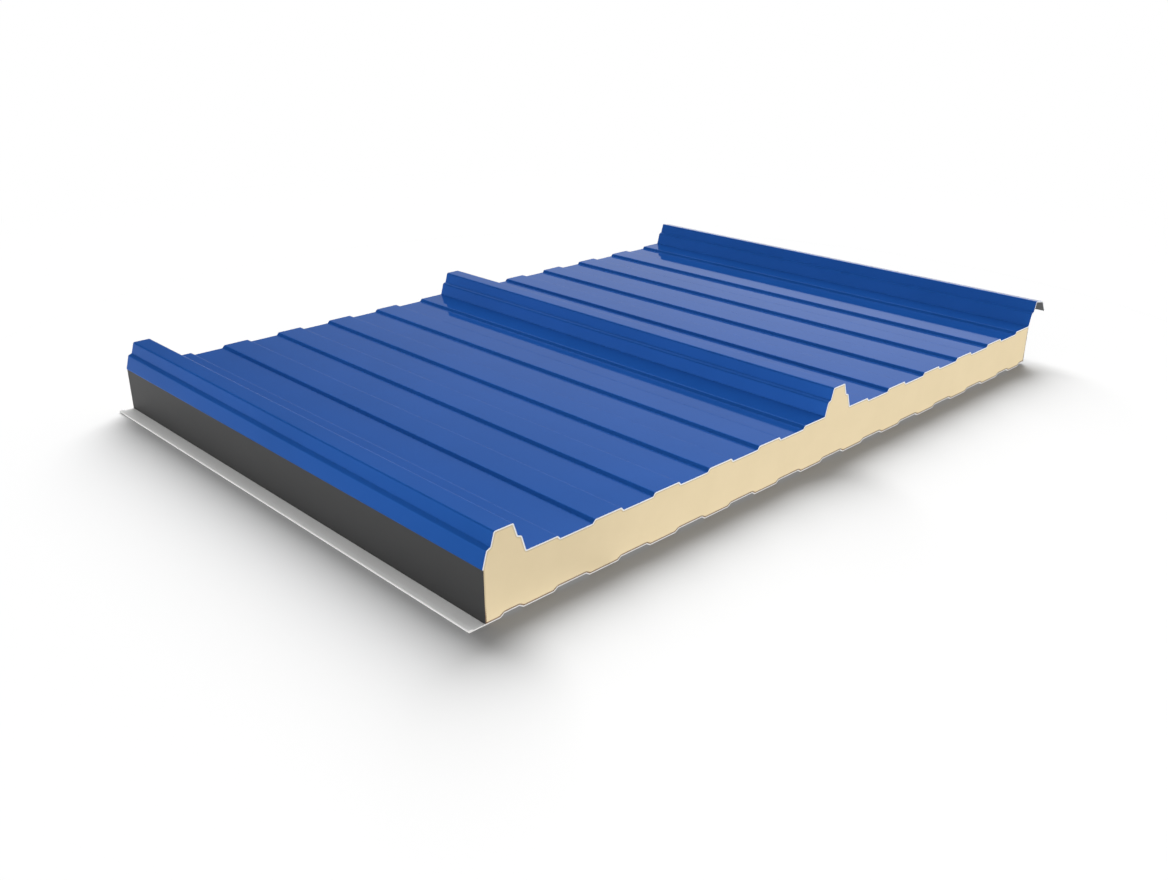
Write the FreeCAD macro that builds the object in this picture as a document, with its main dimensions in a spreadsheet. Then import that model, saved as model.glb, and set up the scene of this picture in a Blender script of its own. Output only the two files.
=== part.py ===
import FreeCAD, Part
import math
import os
import Sketcher

# Insulated roof panel: a roll-formed outer sheet with trapezoidal ribs, a foam core,
# a shallow-fluted inner sheet and a sealing tape down each long side of the core.
# The section lies in XZ and runs along Y.  While it is drawn, x = 0 is the centre line
# of the first rib and z = 0 is the underside of the inner sheet's flats.

doc = FreeCAD.newDocument("InsulatedPanel")

# --- driving dimensions, millimetres ---------------------------------------------------

sizes = {
    "panel_length": 715,        # cut length along the ribs
    "panel_thickness": 52.5,    # underside of the inner flats to the top of the outer valleys
    "outer_gauge": 1.4,         # outer sheet, drawn with its coatings
    "inner_gauge": 1.2,         # inner sheet, likewise
    "bend_radius": 1.0,         # inside radius of every fold
    "rib_pitch": 500,           # rib to rib, half of the cover width
    "bay_count": 2,             # bays between the foam-filled ribs and the side-lap rib
    "rib_height": 35,           # crown above the valleys
    "crown_width": 22,
    "rib_base": 49.5,           # across the feet of a rib
    "shoulder_inner": 30.6,     # across the upper edges of the two shoulders
    "shoulder_outer": 40,       # across their lower edges
    "shoulder_top": 21.3,       # upper edge above the valleys
    "shoulder_bottom": 19.5,    # lower edge above the valleys
    "trough_pitch": 82,         # shallow troughs pressed between the ribs
    "trough_floor": 41,
    "trough_slope": 3,          # run of a trough's side
    "trough_depth": 3.5,
    "trough_margin": 25,        # least flat beside a rib
    "lap_clearance": 0.5,       # side-lap rib over the next panel's rib
    "lap_crown_width": 18.3,    # its crown is narrower, and leans down to spring the lap shut
    "lap_crown_drop": 3.4,
    "lap_leg_height": 17.5,     # end of the free leg, below the crown
    "lap_leg_reach": 16,        # and out from the rib's centre line
    "joint_gap": 2.2,           # between the cores of two neighbours
    "tape_thickness": 0.6,
    "flange_width": 18,         # lap flange of the inner sheet, beyond the core
    "hem_width": 5,             # folded back along the flange's edge
    "hem_radius": 1.1,          # just short of a full round
    "flute_rise": 3,
    "flute_slope": 4.7,         # run of a flute's side
    "flute_pitch": 83.3,
    "flute_width": 36,          # flat top of a full flute
    "flute_start": 79.7,        # centre of the first full flute
    "edge_flute_width": 17.5,   # narrower flute beside the lap flange
    "edge_flute_centre": 6.5,
    "last_flute_width": 25.7,   # narrower flute beside the lap recess
    "last_flute_inset": 62,     # its centre, in from the core's side
    "recess_width": 12,         # raised lip that takes the next panel's flange
}

sheet = doc.addObject("Spreadsheet::Sheet", "Sizes")
for row, (name, value) in enumerate(sizes.items(), start=1):
    sheet.set(f"A{row}", name)
    sheet.set(f"B{row}", str(value))
    sheet.setAlias(f"B{row}", name)
doc.recompute()

# Levels and places that several pieces share.
VALLEY = "Sizes.panel_thickness"
DECK = "(Sizes.panel_thickness + Sizes.trough_depth)"
DECK_UNDER = "(Sizes.panel_thickness + Sizes.trough_depth - Sizes.outer_gauge)"
CROWN = "(Sizes.panel_thickness + Sizes.rib_height)"
LAP_CENTRE = "(Sizes.bay_count * Sizes.rib_pitch)"
CORE_RIGHT = f"({LAP_CENTRE} - Sizes.rib_base / 2 - Sizes.joint_gap)"
LIP_END = f"({CORE_RIGHT} + Sizes.tape_thickness)"
FLANGE_EDGE = "(-Sizes.rib_base / 2 - Sizes.flange_width)"
LAST_FLUTE = f"({CORE_RIGHT} - Sizes.last_flute_inset)"

# Troughs fill each bay and full flutes fill the underside, as many as there is room for.
TROUGH_COUNT = ("floor((Sizes.rib_pitch - Sizes.rib_base - 2 * Sizes.trough_margin"
                " - Sizes.trough_floor - 2 * Sizes.trough_slope) / Sizes.trough_pitch + 1)")
FLUTE_COUNT = (f"floor(({LAST_FLUTE} - Sizes.last_flute_width / 2 - Sizes.flute_start"
               " - Sizes.flute_width / 2 - 2 * Sizes.flute_slope) / Sizes.flute_pitch + 1)")
RIB_STEPS = [("Sizes.rib_pitch", "Sizes.bay_count")]
TROUGH_STEPS = [("Sizes.trough_pitch", TROUGH_COUNT)] + RIB_STEPS
FLUTE_STEPS = [("Sizes.flute_pitch", FLUTE_COUNT)]

# Name, centre and flat width of each flute that is drawn; the full one is then repeated.
FLUTES = [
    ("EdgeFlute", "Sizes.edge_flute_centre", "Sizes.edge_flute_width"),
    ("LastFlute", LAST_FLUTE, "Sizes.last_flute_width"),
    ("Flute", "Sizes.flute_start", "Sizes.flute_width"),
]

# A face narrower than this many sheet thicknesses is a cut edge and takes no fold.
FOLD_GAUGES = 1.5
SAME_DIRECTION = 1e-6


# --- drawing helpers -------------------------------------------------------------------

def newBody(label):
    body = doc.addObject("PartDesign::Body", label)
    body.Label = label
    return body


def newSketch(body, name):
    """A sketch on the body's own XZ plane, across the panel."""
    plane = next(o for o in body.Origin.OriginFeatures if o.Role == "XZ_Plane")
    sketch = body.newObject("Sketcher::SketchObject", name)
    sketch.AttachmentSupport = [(plane, "")]
    sketch.MapMode = "FlatFace"
    return sketch


def drive(sketch, kind, geometry, formula):
    """A dimension on the sketch, bound to the spreadsheet."""
    index = sketch.addConstraint(
        Sketcher.Constraint(kind, *geometry, sketch.evalExpression(formula)))
    sketch.setExpression(f"Constraints[{index}]", formula)


def pin(sketch, line, end, x, z):
    """Holds one end of a line at driven distances from the sketch's origin."""
    for kind, formula in (("DistanceX", x), ("DistanceY", z)):
        index = sketch.addConstraint(
            Sketcher.Constraint(kind, -1, 1, line, end, sketch.evalExpression(formula)))
        sketch.setExpression(f"Constraints[{index}]", formula)


def chain(sketch, corners, construction=False):
    """Lines through the corners in order, joined end to end; returns their numbers."""
    lines = []
    for start, end in zip(corners, corners[1:]):
        segment = Part.LineSegment(FreeCAD.Vector(*start, 0), FreeCAD.Vector(*end, 0))
        lines.append(sketch.addGeometry(segment, construction))
    for first, second in zip(lines, lines[1:]):
        sketch.addConstraint(Sketcher.Constraint("Coincident", first, 2, second, 1))
    return lines


def outline(sketch, points, construction=False):
    """A driven polyline: each point is a pair of formulas, x and z."""
    corners = [(float(sketch.evalExpression(x)), float(sketch.evalExpression(z)))
               for x, z in points]
    lines = chain(sketch, corners, construction)
    pin(sketch, lines[0], 1, *points[0])
    for line, point in zip(lines, points[1:]):
        pin(sketch, line, 2, *point)
    return lines


def offset(sketch, lines, formula, side, construction=False):
    """The same polyline one thickness away; side is 1 above it and -1 below.
    Its two free ends are left for the caller to place."""
    distance = float(sketch.evalExpression(formula)) * side
    starts = [sketch.getPoint(line, 1) for line in lines]
    ends = starts + [sketch.getPoint(lines[-1], 2)]
    corners = [(point.x, point.y + distance) for point in ends]
    copies = chain(sketch, corners, construction)
    for line, copy in zip(lines, copies):
        sketch.addConstraint(Sketcher.Constraint("Parallel", line, copy))
        drive(sketch, "Distance", (copy, 1, line), formula)
    return copies


def level(sketch, line, end, formula):
    """Places one end of a line at a driven height."""
    drive(sketch, "DistanceY", (-1, 1, line, end), formula)


def close(sketch, first, firstEnd, second, secondEnd):
    """A straight line between two open ends."""
    start = sketch.getPoint(first, firstEnd)
    end = sketch.getPoint(second, secondEnd)
    line = sketch.addGeometry(Part.LineSegment(start, end), False)
    sketch.addConstraint(Sketcher.Constraint("Coincident", first, firstEnd, line, 1))
    sketch.addConstraint(Sketcher.Constraint("Coincident", second, secondEnd, line, 2))
    return line


def run(body, kind, sketch, name):
    """Pads or pockets a section over the whole panel length."""
    feature = body.newObject(f"PartDesign::{kind}", name)
    feature.Profile = sketch
    feature.SideType = "Symmetric"
    feature.setExpression("Length", "Sizes.panel_length")
    body.Tip = feature
    return feature


def repeat(body, features, name, steps):
    """Repeats features across the panel; steps are (spacing, count) formulas."""
    pattern = body.newObject("PartDesign::MultiTransform", name)
    pattern.Originals = features
    axis = next(o for o in body.Origin.OriginFeatures if o.Role == "X_Axis")
    moves = []
    for spacing, count in steps:
        move = body.newObject("PartDesign::LinearPattern", f"{name}Step")
        move.Direction = (axis, [""])
        move.Mode = "Spacing"
        move.setExpression("Offset", spacing)
        move.setExpression("Occurrences", count)
        moves.append(move)
    pattern.Transformations = moves
    body.Tip = pattern
    return pattern


# --- the folds ---------------------------------------------------------------------------

def isBulging(edge, faces):
    """True where the solid turns an outside corner along this edge."""
    middle = edge.valueAt((edge.FirstParameter + edge.LastParameter) / 2)
    first, second = faces
    return (first.CenterOfMass - middle).dot(second.normalAt(0, 0)) < 0


def foldEdges(shape, narrowest, bulging, heights):
    """Long edges between two wide sloping or level faces: the lines of the folds."""
    length = shape.BoundBox.YLength
    names = []
    for index, edge in enumerate(shape.Edges, start=1):
        along = edge.tangentAt(edge.FirstParameter)
        if 1 - abs(along.y) > SAME_DIRECTION:
            continue
        faces = shape.ancestorsOfType(edge, Part.Face)
        flat = [isinstance(face.Surface, Part.Plane) for face in faces]
        if len(faces) != 2 or not all(flat):
            continue
        upright = [1 - abs(face.normalAt(0, 0).x) < SAME_DIRECTION for face in faces]
        wide = [face.Area / length > narrowest for face in faces]
        if any(upright) or not all(wide):
            continue
        if not heights[0] < edge.CenterOfMass.z < heights[1]:
            continue
        if isBulging(edge, faces) == bulging:
            names.append(f"Edge{index}")
    return names


def fold(body, name, bulging, radius, narrowest, heights=(-math.inf, math.inf)):
    """Rounds every outside or every inside fold of a piece at once, between two heights."""
    doc.recompute()
    before = body.Tip
    names = foldEdges(before.Shape, narrowest, bulging, heights)
    fillet = body.newObject("PartDesign::Fillet", name)
    fillet.Base = (before, names)
    fillet.setExpression("Radius", radius)
    body.Tip = fillet
    return fillet


# --- sections that the sheets and the core share -----------------------------------------

def ribPoints(centre):
    """Top of a rib, from foot to foot: flanks, a shoulder half-way up each, and a crown."""
    half = [
        ("Sizes.rib_base / 2", DECK),
        ("Sizes.shoulder_outer / 2", f"{VALLEY} + Sizes.shoulder_bottom"),
        ("Sizes.shoulder_inner / 2", f"{VALLEY} + Sizes.shoulder_top"),
        ("Sizes.crown_width / 2", CROWN),
    ]
    left = [(f"{centre} - {x}", z) for x, z in half]
    right = [(f"{centre} + {x}", z) for x, z in reversed(half)]
    return left + right


def lapPoints():
    """The side-lap rib's underside, before its clearance: the next panel's rib up to the
    crown, then a leaning crown and a free leg that flares out."""
    crownStart = f"{LAP_CENTRE} - Sizes.crown_width / 2"
    return ribPoints(LAP_CENTRE)[:4] + [
        (f"{crownStart} + Sizes.lap_crown_width", f"{CROWN} - Sizes.lap_crown_drop"),
        (f"{LAP_CENTRE} + Sizes.lap_leg_reach", f"{CROWN} - Sizes.lap_leg_height"),
    ]


def ribUnderside(sketch):
    """Underside of the first rib, open at the level of the deck's underside."""
    top = outline(sketch, ribPoints("0"), construction=True)
    under = offset(sketch, top, "Sizes.outer_gauge", -1)
    level(sketch, under[0], 1, DECK_UNDER)
    level(sketch, under[-1], 2, DECK_UNDER)
    return under


def troughPoints():
    """Top of the first trough of a bay; the row of troughs is centred in the bay."""
    first = ("Sizes.rib_pitch / 2 - (" + TROUGH_COUNT + " - 1) / 2 * Sizes.trough_pitch")
    half = "Sizes.trough_floor / 2"
    return [
        (f"{first} - {half} - Sizes.trough_slope", DECK),
        (f"{first} - {half}", VALLEY),
        (f"{first} + {half}", VALLEY),
        (f"{first} + {half} + Sizes.trough_slope", DECK),
    ]


def flutePoints(centre, width):
    """Underside of a flute, raised into the core."""
    return [
        (f"{centre} - {width} / 2 - Sizes.flute_slope", "0"),
        (f"{centre} - {width} / 2", "Sizes.flute_rise"),
        (f"{centre} + {width} / 2", "Sizes.flute_rise"),
        (f"{centre} + {width} / 2 + Sizes.flute_slope", "0"),
    ]


def closedOutline(sketch, points):
    lines = outline(sketch, points)
    close(sketch, lines[-1], 2, lines[0], 1)
    return lines


def closedOffset(sketch, points, gauge, side, height):
    """A section offset by the sheet's thickness and closed along a driven level."""
    base = outline(sketch, points, construction=True)
    copies = offset(sketch, base, gauge, side)
    level(sketch, copies[0], 1, height)
    level(sketch, copies[-1], 2, height)
    close(sketch, copies[-1], 2, copies[0], 1)


# --- outer sheet ---------------------------------------------------------------------------

def outerSheet():
    body = newBody("outer_sheet")

    strip = newSketch(body, "DeckSection")
    lap = outline(strip, lapPoints(), construction=True)
    inner = offset(strip, lap, "Sizes.lap_clearance", 1)
    outer = offset(strip, inner, "Sizes.outer_gauge", 1)
    level(strip, inner[0], 1, DECK_UNDER)
    level(strip, outer[0], 1, DECK)
    leg = close(strip, inner[-1], 2, outer[-1], 2)
    strip.addConstraint(Sketcher.Constraint("Horizontal", leg))
    level(strip, outer[-1], 2, f"{CROWN} - Sizes.lap_leg_height")
    edge = outline(strip, [("-Sizes.rib_base / 2", DECK), ("-Sizes.rib_base / 2", DECK_UNDER)])[0]
    close(strip, edge, 1, outer[0], 1)
    close(strip, edge, 2, inner[0], 1)
    run(body, "Pad", strip, "Deck")

    block = newSketch(body, "RibTopSection")
    closedOutline(block, ribPoints("0"))
    hollow = newSketch(body, "RibHollowSection")
    under = ribUnderside(hollow)
    close(hollow, under[-1], 2, under[0], 1)
    rib = run(body, "Pad", block, "RibTop")
    ribHollow = run(body, "Pocket", hollow, "RibHollow")
    repeat(body, [rib, ribHollow], "Ribs", RIB_STEPS)

    under = newSketch(body, "TroughUnderSection")
    closedOffset(under, troughPoints(), "Sizes.outer_gauge", -1, DECK_UNDER)
    dip = newSketch(body, "TroughSection")
    closedOutline(dip, troughPoints())
    troughUnder = run(body, "Pad", under, "TroughUnder")
    trough = run(body, "Pocket", dip, "Trough")
    repeat(body, [troughUnder, trough], "Troughs", TROUGH_STEPS)

    narrowest = sizes["outer_gauge"] * FOLD_GAUGES
    fold(body, "OutsideFolds", True, "Sizes.bend_radius + Sizes.outer_gauge", narrowest)
    fold(body, "InsideFolds", False, "Sizes.bend_radius", narrowest)


# --- inner sheet ---------------------------------------------------------------------------

def linerPoints():
    """Underside of the inner sheet from the lap flange to the recess lip."""
    recess = f"{LIP_END} - Sizes.recess_width"
    return [
        (FLANGE_EDGE, "0"),
        (f"{recess} - Sizes.flute_slope", "0"),
        (recess, "Sizes.flute_rise"),
        (LIP_END, "Sizes.flute_rise"),
    ]


def hemPoints():
    """The strip of the lap flange that is folded flat back onto it."""
    return [
        (FLANGE_EDGE, "Sizes.inner_gauge"),
        (FLANGE_EDGE, "2 * Sizes.inner_gauge"),
        (f"{FLANGE_EDGE} + Sizes.hem_width", "2 * Sizes.inner_gauge"),
        (f"{FLANGE_EDGE} + Sizes.hem_width", "Sizes.inner_gauge"),
    ]


def hemEdges(shape):
    """The two long edges of the flange's outermost face."""
    outermost = min(shape.Faces, key=lambda face: face.CenterOfMass.x)
    longEdges = [edge for edge in outermost.Edges if edge.Length > shape.BoundBox.YLength / 2]
    return [f"Edge{index}" for index, edge in enumerate(shape.Edges, start=1)
            if any(edge.isSame(other) for other in longEdges)]


def innerSheet():
    body = newBody("inner_sheet")

    strip = newSketch(body, "LinerSection")
    under = outline(strip, linerPoints())
    top = offset(strip, under, "Sizes.inner_gauge", 1)
    strip.addConstraint(Sketcher.Constraint("Vertical", close(strip, under[0], 1, top[0], 1)))
    strip.addConstraint(Sketcher.Constraint("Vertical", close(strip, under[-1], 2, top[-1], 2)))
    run(body, "Pad", strip, "Liner")

    for name, centre, width in FLUTES:
        raised = newSketch(body, f"{name}TopSection")
        closedOffset(raised, flutePoints(centre, width), "Sizes.inner_gauge", 1, "Sizes.inner_gauge")
        hollow = newSketch(body, f"{name}Section")
        closedOutline(hollow, flutePoints(centre, width))
        fluteTop = run(body, "Pad", raised, f"{name}Top")
        flute = run(body, "Pocket", hollow, name)
    repeat(body, [fluteTop, flute], "Flutes", FLUTE_STEPS)

    hem = newSketch(body, "HemSection")
    closedOutline(hem, hemPoints())
    run(body, "Pad", hem, "Hem")

    narrowest = sizes["inner_gauge"] * FOLD_GAUGES
    fold(body, "OutsideFolds", True, "Sizes.bend_radius + Sizes.inner_gauge", narrowest)
    fold(body, "InsideFolds", False, "Sizes.bend_radius", narrowest)

    doc.recompute()
    before = body.Tip
    turned = body.newObject("PartDesign::Fillet", "HemFold")
    turned.Base = (before, hemEdges(before.Shape))
    turned.setExpression("Radius", "Sizes.hem_radius")
    body.Tip = turned


# --- foam core -----------------------------------------------------------------------------

def joinTo(sketch, line, end, other, otherEnd):
    sketch.addConstraint(Sketcher.Constraint("Coincident", line, end, other, otherEnd))


def coreSide(sketch):
    """Inner face of the first rib's outer flank, down to the core's left corner."""
    flank = outline(sketch, ribPoints("0")[:2], construction=True)
    inner = offset(sketch, flank, "Sizes.outer_gauge", -1, construction=True)[0]
    level(sketch, inner, 1, DECK_UNDER)
    level(sketch, inner, 2, f"{VALLEY} + Sizes.shoulder_bottom - Sizes.outer_gauge")
    return inner


def foamCore():
    body = newBody("foam_core")

    block = newSketch(body, "CoreSection")
    liner = outline(block, linerPoints(), construction=True)
    linerTop = offset(block, liner, "Sizes.inner_gauge", 1, construction=True)
    flank = coreSide(block)
    corner = block.getPoint(flank, 1)
    rampStart = block.getPoint(linerTop[1], 1)
    rampEnd = block.getPoint(linerTop[1], 2)
    right = float(block.evalExpression(CORE_RIGHT))
    sides = chain(block, [(corner.x, corner.y), (corner.x, rampStart.y), (rampStart.x, rampStart.y),
                          (rampEnd.x, rampEnd.y), (right, rampEnd.y), (right, corner.y),
                          (corner.x, corner.y)])
    joinTo(block, sides[-1], 2, sides[0], 1)
    joinTo(block, sides[0], 1, flank, 1)
    joinTo(block, sides[2], 1, linerTop[1], 1)
    joinTo(block, sides[2], 2, linerTop[1], 2)
    for line, direction in ((0, "Vertical"), (1, "Horizontal"), (3, "Horizontal"),
                            (4, "Vertical"), (5, "Horizontal")):
        block.addConstraint(Sketcher.Constraint(direction, sides[line]))
    drive(block, "DistanceX", (-1, 1, sides[4], 1), CORE_RIGHT)
    run(body, "Pad", block, "Core")

    ridge = newSketch(body, "RibFoamSection")
    under = ribUnderside(ridge)
    close(ridge, under[-1], 2, under[0], 1)
    repeat(body, [run(body, "Pad", ridge, "RibFoam")], "Ribs", RIB_STEPS)

    dip = newSketch(body, "TroughSeatSection")
    closedOffset(dip, troughPoints(), "Sizes.outer_gauge", -1, DECK_UNDER)
    repeat(body, [run(body, "Pocket", dip, "TroughSeat")], "Troughs", TROUGH_STEPS)

    for name, centre, width in FLUTES:
        seat = newSketch(body, f"{name}SeatSection")
        closedOffset(seat, flutePoints(centre, width), "Sizes.inner_gauge", 1, "Sizes.inner_gauge")
        fluteSeat = run(body, "Pocket", seat, f"{name}Seat")
    repeat(body, [fluteSeat], "Flutes", FLUTE_STEPS)

    # the core's hollow corners follow the outside of each sheet's own folds
    narrowest = sizes["outer_gauge"] * FOLD_GAUGES
    middle = sizes["panel_thickness"] / 2
    fold(body, "InsideFolds", True, "Sizes.bend_radius", narrowest)
    fold(body, "DeckFolds", False, "Sizes.bend_radius + Sizes.outer_gauge", narrowest,
         (middle, math.inf))
    fold(body, "FluteFolds", False, "Sizes.bend_radius + Sizes.inner_gauge", narrowest,
         (-math.inf, middle))


# --- side tapes ----------------------------------------------------------------------------

def leftTape():
    """Covers the core from the outer sheet's lower edge to the lap flange."""
    body = newBody("left_side_tape")
    section = newSketch(body, "LeftTapeSection")
    flank = coreSide(section)
    corner = section.getPoint(flank, 1)
    outside = corner.x - sizes["tape_thickness"]
    foot = sizes["inner_gauge"]
    sides = chain(section, [(corner.x, corner.y), (corner.x, foot), (outside, foot),
                            (outside, corner.y), (corner.x, corner.y)])
    joinTo(section, sides[-1], 2, sides[0], 1)
    joinTo(section, sides[0], 1, flank, 1)
    for line, direction in enumerate(["Vertical", "Horizontal", "Vertical", "Horizontal"]):
        section.addConstraint(Sketcher.Constraint(direction, sides[line]))
    level(section, sides[1], 1, "Sizes.inner_gauge")
    drive(section, "DistanceX", (sides[1], 2, sides[1], 1), "Sizes.tape_thickness")
    run(body, "Pad", section, "LeftTape")


def rightTape():
    """Covers the other side, from the recess lip to the deck."""
    body = newBody("right_side_tape")
    section = newSketch(body, "RightTapeSection")
    foot = "Sizes.flute_rise + Sizes.inner_gauge"
    closedOutline(section, [(CORE_RIGHT, foot), (CORE_RIGHT, DECK_UNDER),
                            (LIP_END, DECK_UNDER), (LIP_END, foot)])
    run(body, "Pad", section, "RightTape")


# --- the panel -----------------------------------------------------------------------------

outerSheet()
innerSheet()
foamCore()
leftTape()
rightTape()
doc.recompute()

# The panel's origin is the middle of its underside.
bodies = [item for item in doc.Objects if item.TypeId == "PartDesign::Body"]
left = min(body.Shape.BoundBox.XMin for body in bodies)
right = max(body.Shape.BoundBox.XMax for body in bodies)
for body in bodies:
    body.Placement.Base = FreeCAD.Vector(-(left + right) / 2, 0, 0)
doc.recompute()

for item in doc.Objects:
    if "Invalid" in item.State or "Error" in item.State:
        raise RuntimeError(f"{item.Name} did not build: {item.State}")
for body in bodies:
    if body.Shape.isNull() or not body.Shape.isValid() or len(body.Shape.Solids) != 1:
        raise RuntimeError(f"{body.Label} is not one sound solid")

os.makedirs("parts", exist_ok=True)
for body in bodies:
    body.Shape.exportStep(f"parts/{body.Label}.step")
    box = body.Shape.BoundBox
    print(f"{body.Label}: {box.XLength:.2f} x {box.YLength:.2f} x {box.ZLength:.2f} mm,"
          f" {body.Shape.Volume / 1000:.1f} cm3")
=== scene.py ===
import math
import bmesh
import bpy
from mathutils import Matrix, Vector

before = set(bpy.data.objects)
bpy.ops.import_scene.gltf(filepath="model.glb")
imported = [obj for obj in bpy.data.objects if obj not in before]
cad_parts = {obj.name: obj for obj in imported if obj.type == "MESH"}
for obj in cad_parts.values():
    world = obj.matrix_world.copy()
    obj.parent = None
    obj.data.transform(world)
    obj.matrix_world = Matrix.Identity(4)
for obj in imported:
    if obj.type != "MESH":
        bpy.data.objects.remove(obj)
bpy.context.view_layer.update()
scene = bpy.context.scene
scene.view_settings.view_transform = "Standard"
print("frame loaded:", ", ".join(sorted(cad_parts)))


# node helpers

def newMaterial(name):
    material = bpy.data.materials.new(name)
    material.use_nodes = True
    tree = material.node_tree
    tree.nodes.clear()
    output = tree.nodes.new("ShaderNodeOutputMaterial")
    shader = tree.nodes.new("ShaderNodeBsdfPrincipled")
    tree.links.new(shader.outputs["BSDF"], output.inputs["Surface"])
    return material, tree, shader


def addNode(tree, kind, **settings):
    node = tree.nodes.new(kind)
    for key, value in settings.items():
        setattr(node, key, value)
    return node


def feed(tree, socket, value):
    # a number or a colour is set on the socket, anything else is linked to it
    if isinstance(value, (int, float)):
        socket.default_value = value
    elif isinstance(value, tuple):
        socket.default_value = (*value, 1)
    else:
        tree.links.new(value, socket)


def mathNode(tree, operation, *values):
    node = addNode(tree, "ShaderNodeMath", operation=operation)
    for socket, value in zip(node.inputs, values):
        feed(tree, socket, value)
    return node.outputs[0]


def times(tree, first, second):
    return mathNode(tree, "MULTIPLY", first, second)


def mixColor(tree, factor, first, second):
    node = addNode(tree, "ShaderNodeMix", data_type="RGBA")
    feed(tree, node.inputs[0], factor)
    feed(tree, node.inputs[6], first)
    feed(tree, node.inputs[7], second)
    return node.outputs[2]


def objectPoint(tree, stretch=(1, 1, 1)):
    coordinate = addNode(tree, "ShaderNodeTexCoord")
    mapping = addNode(tree, "ShaderNodeMapping")
    mapping.inputs["Scale"].default_value = stretch
    tree.links.new(coordinate.outputs["Object"], mapping.inputs["Vector"])
    return mapping.outputs["Vector"]


def along(tree, vector, axis):
    split = addNode(tree, "ShaderNodeSeparateXYZ")
    tree.links.new(vector, split.inputs["Vector"])
    return split.outputs[axis]


def facing(tree, axis):
    coordinate = addNode(tree, "ShaderNodeTexCoord")
    return along(tree, coordinate.outputs["Normal"], axis)


def noise(tree, scale, detail, roughness=0.5, stretch=(1, 1, 1)):
    node = addNode(tree, "ShaderNodeTexNoise")
    node.inputs["Scale"].default_value = scale
    node.inputs["Detail"].default_value = detail
    node.inputs["Roughness"].default_value = roughness
    tree.links.new(objectPoint(tree, stretch), node.inputs["Vector"])
    return node.outputs["Fac"]


def remap(tree, value, low, high, outLow, outHigh):
    node = addNode(tree, "ShaderNodeMapRange")
    tree.links.new(value, node.inputs["Value"])
    for name, number in (("From Min", low), ("From Max", high), ("To Min", outLow), ("To Max", outHigh)):
        node.inputs[name].default_value = number
    return node.outputs["Result"]


def patches(tree, value, spread, low=0, high=1):
    # noise keeps near a half, so its middle is stretched over the whole range
    return remap(tree, value, 0.5 - spread, 0.5 + spread, low, high)


def bump(tree, shader, height, distance):
    node = addNode(tree, "ShaderNodeBump")
    node.inputs["Distance"].default_value = distance
    node.inputs["Strength"].default_value = 1
    tree.links.new(height, node.inputs["Height"])
    tree.links.new(node.outputs["Normal"], shader.inputs["Normal"])


def cutFace(tree):
    # 1 on the faces across the panel, where it was cut to length
    return mathNode(tree, "GREATER_THAN", mathNode(tree, "ABSOLUTE", facing(tree, "Y")), 0.7)


# outer sheet: glossy blue coil coating, grey back coat below, bare metal at the cut

paint = {
    "blue": (0.0138, 0.0915, 0.372),
    "bluePale": (0.0152, 0.0970, 0.394),
    "back": (0.165, 0.168, 0.172),
    "backDull": (0.145, 0.148, 0.152),
    "cut": (0.93, 0.95, 0.97),
    "cutDull": (0.84, 0.86, 0.89),
    "cloudScale": 9,
    "grainScale": 700,
    "flake": 0.20,             # metallic share of the blue coat
    "gloss": (0.045, 0.075),   # roughness, from the shiniest patches to the dullest
    "glossScale": 2.4,
    "cutGloss": 0.45,
    "shine": 0.03,
    "waveScale": 11,
    "wave": 0.00002,           # heights in metres
    "peelScale": 900,
    "peel": 0.0000008,
}


def paintedSheet():
    material, tree, shader = newMaterial("bluePaint")
    cut = cutFace(tree)
    below = mathNode(tree, "LESS_THAN", facing(tree, "Z"), -0.02)
    bare = mathNode(tree, "MAXIMUM", cut, below)
    cloud = patches(tree, noise(tree, paint["cloudScale"], 3, 0.55), 0.15)
    grain = patches(tree, noise(tree, paint["grainScale"], 2, 0.6), 0.2)
    coat = mixColor(tree, cloud, paint["blue"], paint["bluePale"])
    back = mixColor(tree, cloud, paint["back"], paint["backDull"])
    edge = mixColor(tree, grain, paint["cut"], paint["cutDull"])
    color = mixColor(tree, cut, mixColor(tree, below, coat, back), edge)
    tree.links.new(color, shader.inputs["Base Color"])
    flake = times(tree, mathNode(tree, "SUBTRACT", 1, bare), paint["flake"])
    tree.links.new(flake, shader.inputs["Metallic"])
    gloss = patches(tree, noise(tree, paint["glossScale"], 2, 0.5, (1, 0.25, 1)), 0.2, *paint["gloss"])
    dull = times(tree, bare, paint["cutGloss"])
    tree.links.new(mathNode(tree, "MAXIMUM", gloss, dull), shader.inputs["Roughness"])
    shader.inputs["Specular IOR Level"].default_value = paint["shine"]
    wave = noise(tree, paint["waveScale"], 1, 0.4, (1, 0.35, 1))
    peel = times(tree, noise(tree, paint["peelScale"], 2), paint["peel"] / paint["wave"])
    bump(tree, shader, mathNode(tree, "ADD", wave, peel), paint["wave"])
    return material


# foam core: pale rigid foam with fine closed cells, and painted contact shade as a dark line along each
# sheet

foam = {
    "cream": (0.845, 0.698, 0.447),
    "creamPale": (0.875, 0.725, 0.470),
    "cloudScale": 26,
    "dullness": (0.86, 0.94),
    "shine": 0.1,
    "seamShade": (0.22, 0.14, 0.09),
    "seamShadeWidth": 0.0025,
    "seamShadeEdge": (0.74, 0.86),   # openness at which the painted seam shade is full and gone
    "seamShadeRise": (0.008, 0.02),  # between these heights the painted shade goes from its lower to its upper amount, so it is strongest along the lower sheet
    "seamShadeAmount": (1.0, 0.25),
    "cellScale": 1300,
    "cellDepth": 0.000015,
    "sawScale": 240,
    "sawDepth": 3,              # depth of the saw marks, in cell depths
}


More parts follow.
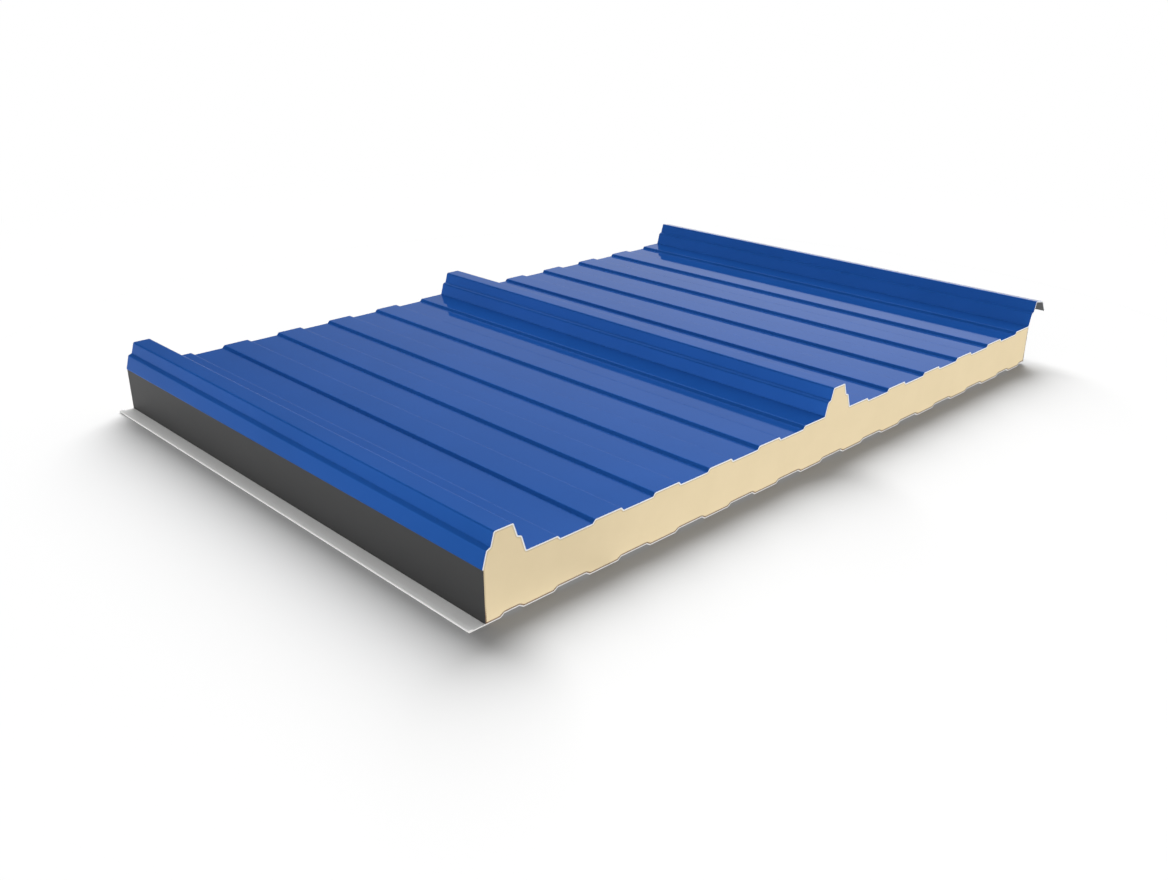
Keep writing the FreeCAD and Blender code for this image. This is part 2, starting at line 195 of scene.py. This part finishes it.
def rigidFoam():
    material, tree, shader = newMaterial("creamFoam")
    height = along(tree, objectPoint(tree), "Z")
    cloud = patches(tree, noise(tree, foam["cloudScale"], 4, 0.6), 0.2)
    body = mixColor(tree, cloud, foam["cream"], foam["creamPale"])
    # painted shade: ambient occlusion darkens the cut face in a thin dark line where it meets the sheets
    seamOcclusion = addNode(tree, "ShaderNodeAmbientOcclusion", inside=True, only_local=True, samples=8)
    seamOcclusion.inputs["Distance"].default_value = foam["seamShadeWidth"]
    shadeLine = remap(tree, seamOcclusion.outputs["AO"], *foam["seamShadeEdge"], 1, 0)
    seamShaded = times(tree, shadeLine, remap(tree, height, *foam["seamShadeRise"], *foam["seamShadeAmount"]))
    tree.links.new(mixColor(tree, seamShaded, body, foam["seamShade"]), shader.inputs["Base Color"])
    tree.links.new(remap(tree, cloud, 0, 1, *foam["dullness"]), shader.inputs["Roughness"])
    shader.inputs["Specular IOR Level"].default_value = foam["shine"]
    cells = addNode(tree, "ShaderNodeTexVoronoi")
    cells.inputs["Scale"].default_value = foam["cellScale"]
    tree.links.new(objectPoint(tree), cells.inputs["Vector"])
    saw = noise(tree, foam["sawScale"], 2, 0.5, (0.06, 1, 1))
    relief = mathNode(tree, "MULTIPLY_ADD", saw, foam["sawDepth"], cells.outputs["Distance"])
    bump(tree, shader, relief, foam["cellDepth"])
    return material


# inner sheet: off-white coil coating

liner = {
    "white": (0.83, 0.83, 0.82),
    "whiteDull": (0.79, 0.79, 0.78),
    "cut": (0.80, 0.79, 0.77),
    "cloudScale": 12,
    "gloss": (0.28, 0.38),
    "glossScale": 5,
    "peelScale": 800,
    "peel": 0.000003,
}


def linerSheet():
    material, tree, shader = newMaterial("paleCoating")
    cloud = patches(tree, noise(tree, liner["cloudScale"], 3), 0.15)
    coat = mixColor(tree, cloud, liner["white"], liner["whiteDull"])
    tree.links.new(mixColor(tree, cutFace(tree), coat, liner["cut"]), shader.inputs["Base Color"])
    gloss = patches(tree, noise(tree, liner["glossScale"], 2), 0.2, *liner["gloss"])
    tree.links.new(gloss, shader.inputs["Roughness"])
    bump(tree, shader, noise(tree, liner["peelScale"], 2), liner["peel"])
    return material


# side tapes: matte charcoal, pressed on by hand

tape = {
    "charcoal": (0.028, 0.0285, 0.029),
    "charcoalPale": (0.037, 0.0375, 0.038),
    "cloudScale": 14,
    "dullness": (0.55, 0.66),
    "creaseScale": 90,
    "crease": 0.00015,
}


def sideTape():
    material, tree, shader = newMaterial("charcoalTape")
    cloud = patches(tree, noise(tree, tape["cloudScale"], 4, 0.6, (1, 0.3, 1)), 0.2)
    color = mixColor(tree, cloud, tape["charcoal"], tape["charcoalPale"])
    tree.links.new(color, shader.inputs["Base Color"])
    tree.links.new(remap(tree, cloud, 0, 1, *tape["dullness"]), shader.inputs["Roughness"])
    bump(tree, shader, noise(tree, tape["creaseScale"], 4, 0.55, (1, 0.4, 1)), tape["crease"])
    return material


finishes = {
    "outer_sheet": paintedSheet(),
    "foam_core": rigidFoam(),
    "inner_sheet": linerSheet(),
    "left_side_tape": sideTape(),
}
finishes["right_side_tape"] = finishes["left_side_tape"]
for name, material in finishes.items():
    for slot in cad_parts[name].material_slots:
        slot.material = material
print("finishes on")


# floor: matte, with the panel's shadow. The camera sees it fade to plain white away from the
# panel, and light bounced off the panel meets an even glow in its place.

ground = {
    "half": 40,
    "shade": (0.25, 0.25, 0.25),
    "lift": 0.015,     # keeps the deepest shadow off black
    "glow": 1.20,
    "fade": (0.95, 1.7),
}


def floorMaterial():
    material, tree, shader = newMaterial("studioFloor")
    feed(tree, shader.inputs["Base Color"], ground["shade"])
    shader.inputs["Roughness"].default_value = 1
    shader.inputs["Specular IOR Level"].default_value = 0
    shader.inputs["Emission Color"].default_value = (1, 1, 1, 1)
    path = addNode(tree, "ShaderNodeLightPath")
    seen, bounced = path.outputs["Is Camera Ray"], path.outputs["Is Diffuse Ray"]
    tree.links.new(times(tree, seen, ground["lift"]), shader.inputs["Emission Strength"])
    place = addNode(tree, "ShaderNodeVectorMath", operation="LENGTH")
    tree.links.new(objectPoint(tree), place.inputs[0])
    far = remap(tree, place.outputs["Value"], *ground["fade"], 0, 1)
    white = addNode(tree, "ShaderNodeEmission")
    strength = mathNode(tree, "MULTIPLY_ADD", bounced, ground["glow"] - 1, 1)
    tree.links.new(strength, white.inputs["Strength"])
    blend = addNode(tree, "ShaderNodeMixShader")
    tree.links.new(mathNode(tree, "MAXIMUM", bounced, times(tree, seen, far)), blend.inputs[0])
    tree.links.new(shader.outputs["BSDF"], blend.inputs[1])
    tree.links.new(white.outputs["Emission"], blend.inputs[2])
    output = next(node for node in tree.nodes if node.type == "OUTPUT_MATERIAL")
    tree.links.new(blend.outputs["Shader"], output.inputs["Surface"])
    return material


floorMesh = bpy.data.meshes.new("studioFloor")
grid = bmesh.new()
bmesh.ops.create_grid(grid, x_segments=1, y_segments=1, size=ground["half"])
grid.to_mesh(floorMesh)
grid.free()
floorMesh.materials.append(floorMaterial())
floor = bpy.data.objects.new("studioFloor", floorMesh)
scene.collection.objects.link(floor)
print("floor laid")


# sky: pale to both sides, dark ahead and behind, dim overhead, with a softbox high up behind
# on the right. The paint mirrors it; only the camera sees plain white.

dome = {
    "base": -0.735,             # level straight ahead and behind, before its limits
    "side": 2.41,               # rise towards the sides
    "dark": 0.10,
    "bright": 1.33,
    "left": (0.05, 0.30, 1.9, 0.4),        # each row: from and to, then the levels there
    "top": (0.42, 0.75, 1, 0.15),
    "softboxRise": (0.44, 0.52, 0, 0.9),
    "softboxSide": (0.05, 0.25, 0, 1),
}


def skyLevel(tree):
    direction = addNode(tree, "ShaderNodeTexCoord").outputs["Generated"]
    across, depth, height = (along(tree, direction, axis) for axis in "XYZ")
    squares = [mathNode(tree, "POWER", part, 2) for part in (across, depth)]
    reach = mathNode(tree, "SQRT", mathNode(tree, "ADD", *squares))
    sideways = mathNode(tree, "DIVIDE", mathNode(tree, "ABSOLUTE", across), reach)
    level = mathNode(tree, "MULTIPLY_ADD", sideways, dome["side"], dome["base"])
    level = mathNode(tree, "MAXIMUM", mathNode(tree, "MINIMUM", level, dome["bright"]), dome["dark"])
    onLeft = mathNode(tree, "LESS_THAN", across, 0)
    left = mathNode(tree, "POWER", remap(tree, height, *dome["left"]), onLeft)  # 1 on the right
    level = times(tree, times(tree, level, left), remap(tree, height, *dome["top"]))
    rise = remap(tree, height, *dome["softboxRise"])
    softbox = times(tree, rise, remap(tree, across, *dome["softboxSide"]))
    softbox = times(tree, softbox, mathNode(tree, "GREATER_THAN", depth, 0))
    return mathNode(tree, "ADD", level, softbox)


world = bpy.data.worlds.new("studio")
scene.world = world
world.use_nodes = True
sky = world.node_tree
sky.nodes.clear()
skyOut = addNode(sky, "ShaderNodeOutputWorld")
pick = addNode(sky, "ShaderNodeMixShader")
sky.links.new(addNode(sky, "ShaderNodeLightPath").outputs["Is Camera Ray"], pick.inputs["Fac"])
for place, strength in ((1, skyLevel(sky)), (2, 1)):
    backdrop = addNode(sky, "ShaderNodeBackground")
    backdrop.inputs["Color"].default_value = (1, 1, 1, 1)
    feed(sky, backdrop.inputs["Strength"], strength)
    sky.links.new(backdrop.outputs["Background"], pick.inputs[place])
sky.links.new(pick.outputs["Shader"], skyOut.inputs["Surface"])
print("sky up")


# lamps: a wide soft key high up behind on the right, a wide fill from the front left, and a sun
# that lights the floor alone, so that the floor is white around a clear shadow

lamps = {
    "keyLight": {"turn": 40, "height": 62, "spread": 50, "level": 0.38},
    "fillLight": {"turn": -120, "height": 50, "spread": 60, "level": 0.35},
    "floorLight": {"turn": 47, "height": 37, "spread": 46, "level": 4.90},
}
lampDistance = 3

for name, lamp in lamps.items():
    data = bpy.data.lights.new(name, "SUN")
    data.angle = math.radians(lamp["spread"])
    data.energy = math.pi * lamp["level"]
    turn, height = math.radians(lamp["turn"]), math.radians(lamp["height"])
    level = math.cos(height)
    toLamp = Vector((level * math.cos(turn), level * math.sin(turn), math.sin(height)))
    light = bpy.data.objects.new(name, data)
    light.rotation_euler = toLamp.to_track_quat("Z", "Y").to_euler()
    light.location = toLamp * lampDistance
    light.visible_glossy = False
    scene.collection.objects.link(light)
floorOnly = bpy.data.collections.new("floorOnly")
floorOnly.objects.link(floor)
bpy.data.objects["floorLight"].light_linking.receiver_collection = floorOnly
print("studio lit")


# camera

view = {
    "place": (-1.0248, -1.0125, 0.5274),
    "tilt": 66.945,
    "turn": -43.982,
    "lens": 34.327,
    "sensor": 36,
}

cameraData = bpy.data.cameras.new("viewCamera")
cameraData.lens = view["lens"]
cameraData.sensor_width = view["sensor"]
camera = bpy.data.objects.new("viewCamera", cameraData)
scene.collection.objects.link(camera)
camera.location = view["place"]
camera.rotation_euler = (math.radians(view["tilt"]), 0, math.radians(view["turn"]))
scene.camera = camera
